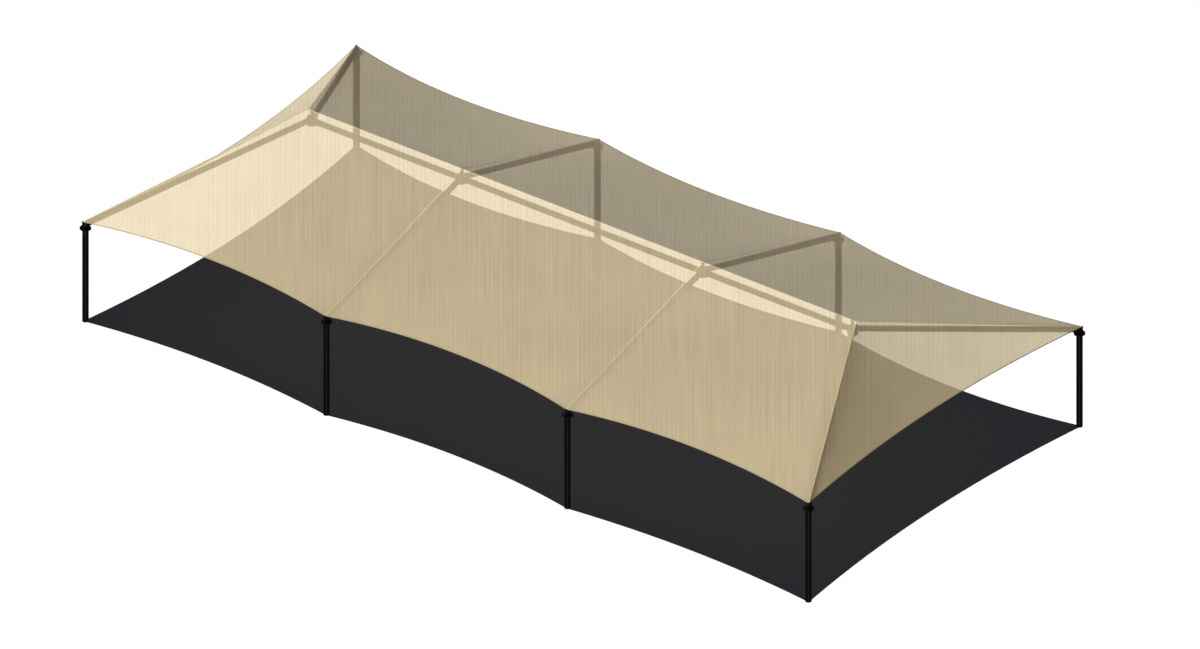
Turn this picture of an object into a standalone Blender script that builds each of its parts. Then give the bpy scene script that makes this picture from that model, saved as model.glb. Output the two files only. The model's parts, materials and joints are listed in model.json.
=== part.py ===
"""Hip shade structure: eight posts, tube rafters and ridge, and one hipped cloth canopy.

Metres, +Z up. X runs along the ridge, Y from the near long side to the far one, and the
origin is on the ground under the middle of the ridge.
"""

import math

import bmesh
import bpy
from mathutils import Matrix, Vector

# Plan of the posts
BAY = 8.13
WIDTH = 11.8
BAYS = 3
POST_X = [BAY * (i - BAYS / 2) for i in range(BAYS + 1)]
SIDES = {"near": -1.0, "far": 1.0}

# Posts and the flanged joint on top of each
POST_RADIUS = 0.0889
POST_WALL = 0.008
FLANGE_RADIUS = 0.1575
FLANGE_THICKNESS = 0.018
POST_TOP = 2.860

# Rafters and ridge tube
TUBE_RADIUS = 0.0795
TUBE_WALL = 0.0063
RAFTER_FOOT_Z = 2.976
RAFTER_TOP_Z = 4.615
RIDGE_BEAM_Z = 4.570
ELBOW_RADIUS = 0.115
ELBOW_LEG = 0.150

# Hubs on the ridge: two over the inner posts, two inboard of the end posts
HUB_X = [-9.12, POST_X[1], POST_X[2], 9.12]
HUB_RADIUS = 0.145
HUB_BOTTOM = 4.460
HUB_TOP = 4.680
HUB_WALL = 0.008
CROWN_STEM_RADIUS = 0.038
CROWN_DOME_RADIUS = 0.081
CROWN_CAP_RADIUS = 0.062
CROWN_CAP_LIP = 0.008

# Canopy: eave corners lie just outside the posts, and each eave bows in between them
CLOTH_THICKNESS = 0.003
CORNER_REACH = 0.050
CORNER_Z = 3.064
RIDGE_Z = 4.870
PEAK_X = 9.24
SEAM_INSET = 0.0011
END_SEAM_INSET = 0.0020
JOIN_INSET = 0.0002
PEAK_INSET = 0.0066
MOST_TRIM = 0.25
# Inward bow and rise of each eave at the middle of its bay, left to right
EAVE_BOW = {"near": (0.34, 0.41, 0.26), "far": (0.56, 0.45, 0.47)}
EAVE_RISE = {"near": (0.120, 0.100, 0.165), "far": (0.0, 0.015, 0.0)}
END_BOW = {"left": 0.48, "right": 0.40}
END_RISE = {"left": -0.17, "right": 0.045}

# Corner pins on the heads, and the perimeter cable between them
PIN_RADIUS = 0.022
CABLE_RADIUS = 0.007

# Gap between parts, and how finely the shapes are divided
GAP = 0.0003
WELD_DISTANCE = 0.0001
CUTTER_OVERHANG = 0.2
SMOOTH_ANGLE = math.radians(35)
TUBE_SIDES = 20
HUB_SIDES = 24
PIN_SIDES = 12
ELBOW_STEPS = 7
ELBOW_BEVEL = TUBE_SIDES // 2 - 2
CABLE_BEVEL = 2
DOME_STEPS = 4
CLOTH_COLUMNS = 14
CLOTH_ROWS = 4

BLACK_STEEL = ("black_powder_coat", (0.006, 0.006, 0.007), 0.45, 0.0)
BARE_STEEL = ("galvanised_steel", (0.42, 0.43, 0.44), 0.40, 0.9)
SAND_CLOTH = ("sand_shade_cloth", (0.72, 0.62, 0.44), 0.85, 0.0)


def make_collection(name):
    """Adds a collection to the scene."""
    collection = bpy.data.collections.new(name)
    bpy.context.scene.collection.children.link(collection)
    return collection


def clear_scene():
    """Removes what the opened file holds."""
    for obj in list(bpy.data.objects):
        bpy.data.objects.remove(obj, do_unlink=True)


def material(finish):
    """The Principled material of one finish, made once."""
    name, colour, roughness, metallic = finish
    found = bpy.data.materials.get(name)
    if found:
        return found
    made = bpy.data.materials.new(name)
    made.use_nodes = True
    shader = made.node_tree.nodes["Principled BSDF"]
    shader.inputs["Base Color"].default_value = (*colour, 1.0)
    shader.inputs["Roughness"].default_value = roughness
    shader.inputs["Metallic"].default_value = metallic
    made.diffuse_color = (*colour, 1.0)
    return made


def add_object(name, mesh, collection, finish=None, matrix=None):
    """Links a mesh as a named object, shaded smooth but for its sharp edges."""
    mesh.name = name
    obj = bpy.data.objects.new(name, mesh)
    collection.objects.link(obj)
    if matrix is not None:
        obj.matrix_world = matrix
    if finish is not None:
        mesh.materials.append(material(finish))
        mesh.shade_smooth()
        mesh.set_sharp_from_angle(angle=SMOOTH_ANGLE)
    return obj


def add_screw(obj, sides):
    """Turns an object's profile about Z."""
    screw = obj.modifiers.new("turn", "SCREW")
    screw.axis = "Z"
    screw.steps = sides
    screw.render_steps = sides
    screw.use_merge_vertices = True
    screw.merge_threshold = WELD_DISTANCE
    return screw


def turned(name, profile, sides, collection, finish, closed, matrix=None):
    """A turned body from (radius, z) points that run down its outer side, top to bottom."""
    mesh = bpy.data.meshes.new(name)
    count = len(profile)
    edges = [(i, i + 1) for i in range(count - 1)]
    if closed:
        edges.append((count - 1, 0))
    mesh.from_pydata([(r, 0.0, z) for r, z in profile], edges, [])
    obj = add_object(name, mesh, collection, finish, matrix)
    add_screw(obj, sides)
    return obj


def pipe_profile(radius, wall, bottom, top):
    """The closed cut section of a round tube."""
    inner = radius - wall
    return [(radius, top), (radius, bottom), (inner, bottom), (inner, top)]


def half_step(sides):
    """Turn about Z that puts the middle of a flat, not an edge, on each axis."""
    return Matrix.Rotation(math.pi / sides, 4, "Z")


def cylinder_mesh(name, radius, bottom, top, sides, centre=(0.0, 0.0)):
    """A capped upright cylinder with a flat towards each axis."""
    mesh = bpy.data.meshes.new(name)
    bm = bmesh.new()
    middle = Matrix.Translation((centre[0], centre[1], (bottom + top) / 2)) @ half_step(sides)
    bmesh.ops.create_cone(
        bm, cap_ends=True, segments=sides, radius1=radius, radius2=radius, depth=top - bottom, matrix=middle
    )
    bm.to_mesh(mesh)
    bm.free()
    return mesh


def add_boolean(obj, other, operation):
    """Cuts or joins another object with the exact solver."""
    modifier = obj.modifiers.new(operation.lower(), "BOOLEAN")
    modifier.operation = operation
    modifier.solver = "EXACT"
    modifier.object = other


def add_tool(name, mesh, tools, matrix=None):
    """A hidden body that cuts or joins another."""
    obj = add_object(name, mesh, tools, matrix=matrix)
    obj.hide_render = True
    obj.display_type = "WIRE"
    return obj


def tube_along(name, points, radius, resolution):
    """A solid round rod through the points, as a welded mesh."""
    curve = bpy.data.curves.new(name, "CURVE")
    curve.dimensions = "3D"
    curve.bevel_depth = radius
    curve.bevel_resolution = resolution
    curve.use_fill_caps = True
    spline = curve.splines.new("POLY")
    spline.points.add(len(points) - 1)
    for point, place in zip(spline.points, points):
        point.co = (*place, 1.0)
    holder = bpy.data.objects.new(name, curve)
    bpy.context.scene.collection.objects.link(holder)
    bpy.context.view_layer.update()
    evaluated = holder.evaluated_get(bpy.context.evaluated_depsgraph_get())
    mesh = bpy.data.meshes.new_from_object(evaluated)
    bm = bmesh.new()
    bm.from_mesh(mesh)
    bmesh.ops.remove_doubles(bm, verts=bm.verts, dist=WELD_DISTANCE)
    bmesh.ops.recalc_face_normals(bm, faces=bm.faces)
    bm.to_mesh(mesh)
    bm.free()
    bpy.data.objects.remove(holder, do_unlink=True)
    bpy.data.curves.remove(curve)
    return mesh


def post_position(side, index):
    """Ground point of a post's axis."""
    return Vector((POST_X[index], SIDES[side] * WIDTH / 2, 0.0))


def rafter_line(side, index):
    """Ends of a rafter's axis, on the post's axis and on the hub's axis."""
    foot = post_position(side, index)
    foot.z = RAFTER_FOOT_Z
    return foot, Vector((HUB_X[index], 0.0, RAFTER_TOP_Z))


def canopy_corner(side, index):
    """Middle of the cloth's thickness at an eave corner."""
    post = post_position(side, index)
    outer = {0: -1.0, BAYS: 1.0}.get(index, 0.0)
    return Vector((post.x + outer * CORNER_REACH, post.y + SIDES[side] * CORNER_REACH, CORNER_Z))


def add_columns(parts):
    """Posts: tube with a ring flange on top."""
    top = POST_TOP - GAP / 2
    under_flange = top - FLANGE_THICKNESS
    profile = [
        (FLANGE_RADIUS, top),
        (FLANGE_RADIUS, under_flange),
        (POST_RADIUS, under_flange),
        (POST_RADIUS, 0.0),
        (POST_RADIUS - POST_WALL, 0.0),
        (POST_RADIUS - POST_WALL, top),
    ]
    for side in SIDES:
        for index in range(BAYS + 1):
            place = Matrix.Translation(post_position(side, index))
            turned(f"column_{side}_{index + 1}", profile, TUBE_SIDES, parts, BLACK_STEEL, True, place)


def elbow_points(slope):
    """Centre line of a head's bent tube, in the plane of its rafter, from the flange up."""
    turn = math.pi / 2 - slope
    tangent = ELBOW_RADIUS * math.tan(turn / 2)
    centre = Vector((ELBOW_RADIUS, 0.0, RAFTER_FOOT_Z - tangent))
    angles = [turn * i / ELBOW_STEPS for i in range(ELBOW_STEPS + 1)]
    arc = [centre + ELBOW_RADIUS * Vector((-math.cos(a), 0.0, math.sin(a))) for a in angles]
    start = Vector((0.0, 0.0, POST_TOP + GAP / 2 + FLANGE_THICKNESS / 2))
    end = Vector((ELBOW_LEG * math.cos(slope), 0.0, RAFTER_FOOT_Z + ELBOW_LEG * math.sin(slope)))
    return [start, *arc, end]


def add_heads(parts, tools):
    """Post heads: flange, bent tube and corner pin, joined into one body."""
    bottom = POST_TOP + GAP / 2
    for side in SIDES:
        for index in range(BAYS + 1):
            name = f"head_{side}_{index + 1}"
            foot, top = rafter_line(side, index)
            run = top - foot
            heading = math.atan2(run.y, run.x)
            slope = math.atan2(run.z, run.xy.length)
            post = post_position(side, index)
            turn = Matrix.Rotation(heading, 4, "Z")
            place = Matrix.Translation(post) @ turn
            flange = cylinder_mesh(name, FLANGE_RADIUS, bottom, bottom + FLANGE_THICKNESS, TUBE_SIDES)
            head = add_object(name, flange, parts, BLACK_STEEL, Matrix.Translation(post))
            elbow = tube_along(name + "_elbow", elbow_points(slope), TUBE_RADIUS, ELBOW_BEVEL)
            add_boolean(head, add_tool(name + "_elbow", elbow, tools, place), "UNION")
            corner = canopy_corner(side, index) - post
            pin_top = CORNER_Z - CLOTH_THICKNESS / 2 - GAP * 2
            pin_foot = bottom + FLANGE_THICKNESS / 2
            pin = cylinder_mesh(name + "_pin", PIN_RADIUS, pin_foot, pin_top, PIN_SIDES, corner.xy)
            pin_tool = add_tool(name + "_pin", pin, tools, Matrix.Translation(post))
            add_boolean(head, pin_tool, "UNION")


def add_tube_between(name, start, end, start_trim, end_trim, cutters, parts):
    """A tube along a line, trimmed back from its ends and coped round the hubs it meets."""
    run = end - start
    profile = pipe_profile(TUBE_RADIUS, TUBE_WALL, start_trim, run.length - end_trim)
    place = Matrix.Translation(start) @ run.to_track_quat("Z", "Y").to_matrix().to_4x4()
    tube = turned(name, profile, TUBE_SIDES, parts, BLACK_STEEL, True, place)
    for cutter in cutters:
        add_boolean(tube, cutter, "DIFFERENCE")


def hub_cutters(tools):
    """The hubs' outlines, which the tubes are coped to fit."""
    made = []
    for number, x in enumerate(HUB_X, 1):
        low, high = HUB_BOTTOM - CUTTER_OVERHANG, HUB_TOP + CUTTER_OVERHANG
        mesh = cylinder_mesh(f"cope_{number}", HUB_RADIUS + GAP, low, high, HUB_SIDES)
        made.append(add_tool(f"cope_{number}", mesh, tools, Matrix.Translation((x, 0.0, 0.0))))
    return made


def add_rafters(cutters, parts):
    """Four hip rafters and four middle ones, from the heads to the hubs."""
    kinds = ["hip_{}_left", "mid_{}_left", "mid_{}_right", "hip_{}_right"]
    inside_hub = HUB_RADIUS / 2
    for side in SIDES:
        for index, kind in enumerate(kinds):
            foot, top = rafter_line(side, index)
            name = "rafter_" + kind.format(side)
            add_tube_between(name, foot, top, ELBOW_LEG + GAP, inside_hub, [cutters[index]], parts)


def add_ridge_beams(cutters, parts):
    """Three lengths of ridge tube between the hubs."""
    inside_hub = HUB_RADIUS / 2
    for index, place in enumerate(("left", "middle", "right")):
        start = Vector((HUB_X[index], 0.0, RIDGE_BEAM_Z))
        end = Vector((HUB_X[index + 1], 0.0, RIDGE_BEAM_Z))
        ends = cutters[index : index + 2]
        add_tube_between(f"ridge_beam_{place}", start, end, inside_hub, inside_hub, ends, parts)


def ridge_slope():
    """Slope of the long sides of the canopy beside the ridge."""
    return (RIDGE_Z - CORNER_Z) / (WIDTH / 2 + CORNER_REACH)


def add_hubs(parts):
    """Hubs: a can open below, with a crown post whose dome touches the cloth on both sides."""
    pitch = math.atan(ridge_slope())
    under_cloth = RIDGE_Z - CLOTH_THICKNESS / 2 / math.cos(pitch)
    centre = under_cloth - (CROWN_DOME_RADIUS + GAP * 2) / math.cos(pitch)
    widest = math.asin(CROWN_CAP_RADIUS / CROWN_DOME_RADIUS)
    angles = [widest * i / DOME_STEPS for i in range(DOME_STEPS + 1)]
    dome = [(CROWN_DOME_RADIUS * math.sin(a), centre + CROWN_DOME_RADIUS * math.cos(a)) for a in angles]
    cap_bottom = dome[-1][1] - CROWN_CAP_LIP
    inner = HUB_RADIUS - HUB_WALL
    profile = [
        *dome,
        (CROWN_CAP_RADIUS, cap_bottom),
        (CROWN_STEM_RADIUS, cap_bottom),
        (CROWN_STEM_RADIUS, HUB_TOP),
        (HUB_RADIUS, HUB_TOP),
        (HUB_RADIUS, HUB_BOTTOM),
        (inner, HUB_BOTTOM),
        (inner, HUB_TOP - HUB_WALL),
        (0.0, HUB_TOP - HUB_WALL),
    ]
    for number, x in enumerate(HUB_X, 1):
        place = Matrix.Translation((x, 0.0, 0.0)) @ half_step(HUB_SIDES)
        turned(f"hub_{number}", profile, HUB_SIDES, parts, BLACK_STEEL, False, place)


def arch(u):
    """Shape of an eave's bow along its bay: 0 at both corners, 1 halfway."""
    return 4.0 * u * (1.0 - u)


def long_eave(side, bay, u):
    """Point of a long side's eave, u from 0 to 1 along the bay."""
    point = canopy_corner(side, bay).lerp(canopy_corner(side, bay + 1), u)
    inward = Vector((0.0, -SIDES[side] * EAVE_BOW[side][bay], EAVE_RISE[side][bay]))
    return point + inward * arch(u)


def end_eave(end, u):
    """Point of an end's eave, u from 0 on the near side to 1 on the far side."""
    index = 0 if end == "left" else BAYS
    inward = 1.0 if end == "left" else -1.0
    point = canopy_corner("near", index).lerp(canopy_corner("far", index), u)
    return point + Vector((inward * END_BOW[end], 0.0, END_RISE[end])) * arch(u)


def ridge_point(bay, u):
    """Point of the cloth's ridge above a bay."""
    tops = [-PEAK_X, POST_X[1], POST_X[2], PEAK_X]
    return Vector((tops[bay] + (tops[bay + 1] - tops[bay]) * u, 0.0, RIDGE_Z))


def loft_mesh(name, lower, upper, start_inset, end_inset, top_inset):
    """A ruled sheet between two curves of u, drawn back from its seams."""
    mesh = bpy.data.meshes.new(name)
    bm = bmesh.new()
    bmesh.ops.create_grid(bm, x_segments=CLOTH_COLUMNS, y_segments=CLOTH_ROWS, size=0.5)
    length = (lower(1.0) - lower(0.0)).length
    for vert in bm.verts:
        u, v = vert.co.x + 0.5, vert.co.y + 0.5
        span = (lower(u) - upper(u)).length
        width = length * (1.0 - v) + (upper(1.0) - upper(0.0)).length * v
        trim_start = min(start_inset / max(width, start_inset), MOST_TRIM)
        trim_end = min(end_inset / max(width, end_inset), MOST_TRIM)
        u = trim_start + (1.0 - trim_start - trim_end) * u
        v *= 1.0 - top_inset / span
        vert.co = lower(u).lerp(upper(u), v)
    bmesh.ops.remove_doubles(bm, verts=bm.verts, dist=WELD_DISTANCE)
    bm.to_mesh(mesh)
    bm.free()
    return mesh


def add_cloth(name, mesh, parts):
    """Gives a sheet its thickness, half to each side, with outward faces."""
    cloth = add_object(name, mesh, parts, SAND_CLOTH)
    solidify = cloth.modifiers.new("thickness", "SOLIDIFY")
    solidify.thickness = CLOTH_THICKNESS
    solidify.offset = 0.0
    solidify.use_even_offset = True


def add_canopy(parts):
    """Six long-side panels between eave and ridge, and two end panels up to the peaks."""
    for side in SIDES:
        for bay, place in enumerate(("left", "middle", "right")):
            name = f"canopy_{side}_{place}"
            start = SEAM_INSET if bay == 0 else JOIN_INSET
            end = SEAM_INSET if bay == BAYS - 1 else JOIN_INSET
            lower = lambda u, s=side, b=bay: long_eave(s, b, u)
            upper = lambda u, b=bay: ridge_point(b, u)
            add_cloth(name, loft_mesh(name, lower, upper, start, end, SEAM_INSET), parts)
    for end, peak in (("left", -PEAK_X), ("right", PEAK_X)):
        name = f"canopy_end_{end}"
        top = Vector((peak, 0.0, RIDGE_Z))
        lower = lambda u, e=end: end_eave(e, u)
        upper = lambda u, t=top: t
        add_cloth(name, loft_mesh(name, lower, upper, END_SEAM_INSET, END_SEAM_INSET, PEAK_INSET), parts)


def cable_points(eave):
    """A cable just under an eave, from the face of one corner pin to the next."""
    drop = Vector((0.0, 0.0, CLOTH_THICKNESS / 2 + 2 * GAP + CABLE_RADIUS))
    clear = (PIN_RADIUS + GAP) / (eave(1.0) - eave(0.0)).length
    inner = [i / CLOTH_COLUMNS for i in range(1, CLOTH_COLUMNS)]
    return [eave(u) - drop for u in (clear, *inner, 1.0 - clear)]


def add_cables(parts):
    """Perimeter cable, one length a bay."""
    eaves = {}
    for side in SIDES:
        for bay in range(BAYS):
            eaves[f"cable_{side}_{bay + 1}"] = lambda u, s=side, b=bay: long_eave(s, b, u)
    for end in END_BOW:
        eaves[f"cable_end_{end}"] = lambda u, e=end: end_eave(e, u)
    for name, eave in eaves.items():
        add_object(name, tube_along(name, cable_points(eave), CABLE_RADIUS, CABLE_BEVEL), parts, BARE_STEEL)


def main():
    clear_scene()
    parts = make_collection("hip_shade_structure")
    tools = make_collection("cutters")
    add_columns(parts)
    add_heads(parts, tools)
    cutters = hub_cutters(tools)
    add_rafters(cutters, parts)
    add_ridge_beams(cutters, parts)
    add_hubs(parts)
    add_canopy(parts)
    add_cables(parts)


main()
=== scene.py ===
"""Hip shade structure, dressed: one knitted canopy, its hems, seams and cable, the steel joints, and a plain studio.

Metres, +Z up. X runs along the ridge, Y from the near long side to the far one, and the origin is on the ground
under the middle of the ridge.
"""

import json
import logging
import math
from collections.abc import Callable, Iterable
from dataclasses import dataclass, field
from enum import Enum

import bmesh
import bpy
import numpy as np
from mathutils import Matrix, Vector

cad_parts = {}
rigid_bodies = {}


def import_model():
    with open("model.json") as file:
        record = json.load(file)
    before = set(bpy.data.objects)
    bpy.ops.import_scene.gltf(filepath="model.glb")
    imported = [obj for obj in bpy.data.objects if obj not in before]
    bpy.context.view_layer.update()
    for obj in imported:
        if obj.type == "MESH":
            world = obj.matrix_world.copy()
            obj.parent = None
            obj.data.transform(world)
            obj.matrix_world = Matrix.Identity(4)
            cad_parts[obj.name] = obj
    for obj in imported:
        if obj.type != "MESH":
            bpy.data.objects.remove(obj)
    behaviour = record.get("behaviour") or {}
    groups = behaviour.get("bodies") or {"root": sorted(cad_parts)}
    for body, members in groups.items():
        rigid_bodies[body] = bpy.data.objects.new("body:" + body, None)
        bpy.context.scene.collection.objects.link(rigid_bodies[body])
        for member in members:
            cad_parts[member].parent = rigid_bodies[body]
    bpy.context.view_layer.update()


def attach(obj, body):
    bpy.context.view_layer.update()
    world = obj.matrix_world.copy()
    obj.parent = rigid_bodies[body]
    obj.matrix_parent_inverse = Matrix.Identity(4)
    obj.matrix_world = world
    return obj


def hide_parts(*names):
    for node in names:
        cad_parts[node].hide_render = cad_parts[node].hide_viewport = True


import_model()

log = logging.getLogger("hip_shade")

Array = np.ndarray
Colour = tuple[float, float, float]
Curve = Callable[[Array], Array]


class Side(Enum):
    """Long sides of the structure, with the sign of their Y."""

    NEAR = -1.0
    FAR = 1.0

    @property
    def label(self) -> str:
        """Name of the side as the CAD nodes have it."""
        return self.name.lower()


class End(Enum):
    """Short ends of the structure, with the sign of their X."""

    LEFT = -1.0
    RIGHT = 1.0

    @property
    def label(self) -> str:
        """Name of the end as the CAD nodes have it."""
        return self.name.lower()


# Helpers for grids of points


def arch(u: Array) -> Array:
    """Parabola that is 0 at u = 0 and u = 1 and 1 halfway.

    Args:
        u: Places along the span, from 0 to 1.

    Returns:
        Four u times one minus u.
    """
    return 4.0 * u * (1.0 - u)


def smooth_step(x: Array, low: float, high: float) -> Array:
    """Ramp from 0 at low to 1 at high, level at both ends: 3t squared minus 2t cubed.

    Args:
        x: Numbers to pass through the ramp.
        low: Where it leaves 0.
        high: Where it reaches 1.

    Returns:
        The ramp's values.
    """
    t = np.clip((x - low) / (high - low), 0.0, 1.0)
    return t * t * (3.0 - 2.0 * t)


def unit(vectors: Array) -> Array:
    """Vectors of length 1 in the same directions."""
    return vectors / np.maximum(np.linalg.norm(vectors, axis=-1, keepdims=True), 1e-12)


def segment(start: Array, end: Array, count: int) -> Array:
    """Evenly spaced points from start to end.

    Args:
        start: First point.
        end: Last point.
        count: Number of points.

    Returns:
        Array of points, start plus t times the run.
    """
    t = np.linspace(0.0, 1.0, count)[:, None]
    return np.asarray(start) * (1.0 - t) + np.asarray(end) * t


def path_frames(path: Array, up: Array | None = None) -> tuple[Array, Array]:
    """Side and top directions square to a path.

    The side is the tangent crossed with a fixed up direction, and the top is the side crossed with the tangent.

    Args:
        path: Points along the path.
        up: Direction that the top keeps near to; +Z if left out.

    Returns:
        The side vectors and the top vectors, one of each for a point.
    """
    tangent = unit(np.gradient(path, axis=0))
    guide = np.array([0.0, 0.0, 1.0]) if up is None else np.asarray(up)
    side = unit(np.cross(tangent, guide))
    return side, np.cross(side, tangent)


def swept(path: Array, section: Array, up: Array | None = None, scale: Array | None = None) -> Array:
    """A closed section carried along a path.

    Point (i, j) is path point i, plus section x times the side and section y times the top there.

    Args:
        path: Points along the path, (n, 3).
        section: Points of the section, (m, 2); its first point is repeated at its end.
        up: Direction that the section's top keeps near to.
        scale: Size of the section at each path point; 1 if left out.

    Returns:
        Grid of points, (n, m + 1, 3).
    """
    side, top = path_frames(path, up=up)
    ring = np.vstack([section, section[:1]])
    size = np.ones(len(path)) if scale is None else scale
    across = ring[None, :, :1] * side[:, None, :] + ring[None, :, 1:] * top[:, None, :]
    return path[:, None, :] + across * size[:, None, None]


def circle_section(radius: float, sides: int) -> Array:
    """Points of a circle, radius times cosine and sine of even angles."""
    angle = np.linspace(0.0, 2.0 * math.pi, sides, endpoint=False)
    return radius * np.stack([np.cos(angle), np.sin(angle)], axis=1)


def capped(grid: Array) -> Array:
    """Closes a swept grid with a pole at each end.

    Args:
        grid: Points, (n, m, 3), each row a closed ring.

    Returns:
        The grid with a row of each end ring's middle point before and after it.
    """
    first = np.repeat(grid[:1, :-1].mean(axis=1, keepdims=True), grid.shape[1], axis=1)
    last = np.repeat(grid[-1:, :-1].mean(axis=1, keepdims=True), grid.shape[1], axis=1)
    return np.concatenate([first, grid, last], axis=0)


def revolved(profile: Array, sides: int, centre: Array, axis: Array | None = None) -> Array:
    """A profile turned about an axis.

    Point (i, j) is the centre, plus the profile's height along the axis and its radius in the direction of angle j.

    Args:
        profile: (radius, height) points; it starts and ends on the axis, or its last point is its first.
        sides: Number of steps round the axis.
        centre: Point of the axis at height 0.
        axis: Direction of the axis; +Z if left out.

    Returns:
        Grid of points, (len(profile), sides + 1, 3).
    """
    along = unit(np.array([0.0, 0.0, 1.0]) if axis is None else np.asarray(axis, float))
    helper = np.array([1.0, 0.0, 0.0]) if abs(along[0]) < 0.9 else np.array([0.0, 1.0, 0.0])
    across = unit(np.cross(along, helper))
    square = np.cross(along, across)
    angle = np.linspace(0.0, 2.0 * math.pi, sides + 1)
    spoke = np.cos(angle)[:, None] * across + np.sin(angle)[:, None] * square
    return np.asarray(centre) + profile[:, :1, None] * spoke[None] + profile[:, 1:, None] * along


def rounded_profile(radius: float, bottom: float, top: float, edge: float) -> Array:
    """Half section of a disc or rod whose two edges are rounded with quarter circles.

    Args:
        radius: Outer radius.
        bottom: Height of the lower face.
        top: Height of the upper face.
        edge: Radius of the rounding.

    Returns:
        (radius, height) points from the axis below, out and up to the axis above.
    """
    return np.vstack([[[0.0, bottom]], quarter_arc(radius, bottom, top, edge), [[0.0, top]]])


def quarter_arc(radius: float, bottom: float, top: float, edge: float) -> Array:
    """The rounded outer wall of a disc, from the bottom up: a quarter circle, the wall, and a quarter circle.

    Args:
        radius: Outer radius.
        bottom: Height of the lower face.
        top: Height of the upper face.
        edge: Radius of the rounding.

    Returns:
        (radius, height) points.
    """
    turn = np.linspace(0.0, math.pi / 2, 5)
    lower = np.stack([radius - edge + edge * np.sin(turn), bottom + edge - edge * np.cos(turn)], axis=1)
    upper = np.stack([radius - edge + edge * np.cos(turn), top - edge + edge * np.sin(turn)], axis=1)
    return np.vstack([lower, upper])


# Meshes and pieces


@dataclass
class Shell:
    """Grids of points gathered into one mesh, welded where they meet."""

    points: list[Array] = field(default_factory=list)
    quads: list[Array] = field(default_factory=list)
    coords: list[Array] = field(default_factory=list)
    kinds: list[Array] = field(default_factory=list)
    count: int = 0

    def patch(self, grid: Array, uv: Array | None = None, kind: float = 0.0) -> None:
        """Adds one grid as quads.

        Corner (i, j) is joined to (i, j + 1), (i + 1, j + 1) and (i + 1, j).

        Args:
            grid: Points, (rows, columns, 3).
            uv: Texture place of each point in metres, (rows, columns, 2); 0 if left out.
            kind: Number that the patch's faces carry in the attribute called kind.
        """
        rows, columns = grid.shape[:2]
        index = np.arange(rows * columns).reshape(rows, columns) + self.count
        quad = np.stack([index[:-1, :-1], index[:-1, 1:], index[1:, 1:], index[1:, :-1]], axis=-1).reshape(-1, 4)
        self.points.append(grid.reshape(-1, 3))
        self.quads.append(quad)
        self.coords.append(np.zeros((rows * columns, 2)) if uv is None else uv.reshape(-1, 2))
        self.kinds.append(np.full(len(quad), kind))
        self.count += rows * columns

    def mesh(self, name: str, recalculate: bool = True, smooth_angle: float = 40.0) -> bpy.types.Mesh:
        """Makes the mesh.

        Args:
            name: Name of the mesh.
            recalculate: True to turn the faces of closed bodies outwards; an open sheet keeps the grids' own order.
            smooth_angle: Angle in degrees past which an edge is sharp.

        Returns:
            The mesh, with a UV map in metres and the face attribute kind.
        """
        mesh = bpy.data.meshes.new(name)
        points, quads = np.concatenate(self.points), np.concatenate(self.quads)
        mesh.from_pydata(points.tolist(), [], quads.tolist())
        corner = np.empty(len(mesh.loops), np.int32)
        mesh.loops.foreach_get("vertex_index", corner)
        layer = mesh.uv_layers.new(name="metres")
        layer.uv.foreach_set("vector", np.concatenate(self.coords)[corner].astype(np.float32).ravel())
        kind = mesh.attributes.new("kind", "FLOAT", "FACE")
        kind.data.foreach_set("value", np.concatenate(self.kinds).astype(np.float32))
        work = bmesh.new()
        work.from_mesh(mesh)
        bmesh.ops.remove_doubles(work, verts=work.verts, dist=1e-5)
        if recalculate:
            bmesh.ops.recalc_face_normals(work, faces=work.faces)
        work.to_mesh(mesh)
        work.free()
        mesh.shade_smooth()
        mesh.set_sharp_from_angle(angle=math.radians(smooth_angle))
        return mesh


def add_piece(name: str, mesh: bpy.types.Mesh, finish: "Finish", replaces: Iterable[str] = ()) -> bpy.types.Object:
    """Makes a piece of the object, riding on the root body.

    Args:
        name: Name of the piece.
        mesh: Its mesh, in the object's own metres.
        finish: What it is made of.
        replaces: CAD nodes that it stands for.

    Returns:
        The new object, at the origin.
    """
    piece = bpy.data.objects.new(name, mesh)
    bpy.context.scene.collection.objects.link(piece)
    mesh.materials.append(finish.material())
    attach(piece, "root")
    nodes = list(replaces)
    if nodes:
        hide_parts(*nodes)
    log.info("%s: %d faces%s", name, len(mesh.polygons), f", stands for {len(nodes)} nodes" if nodes else "")
    return piece


# Finishes


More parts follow.
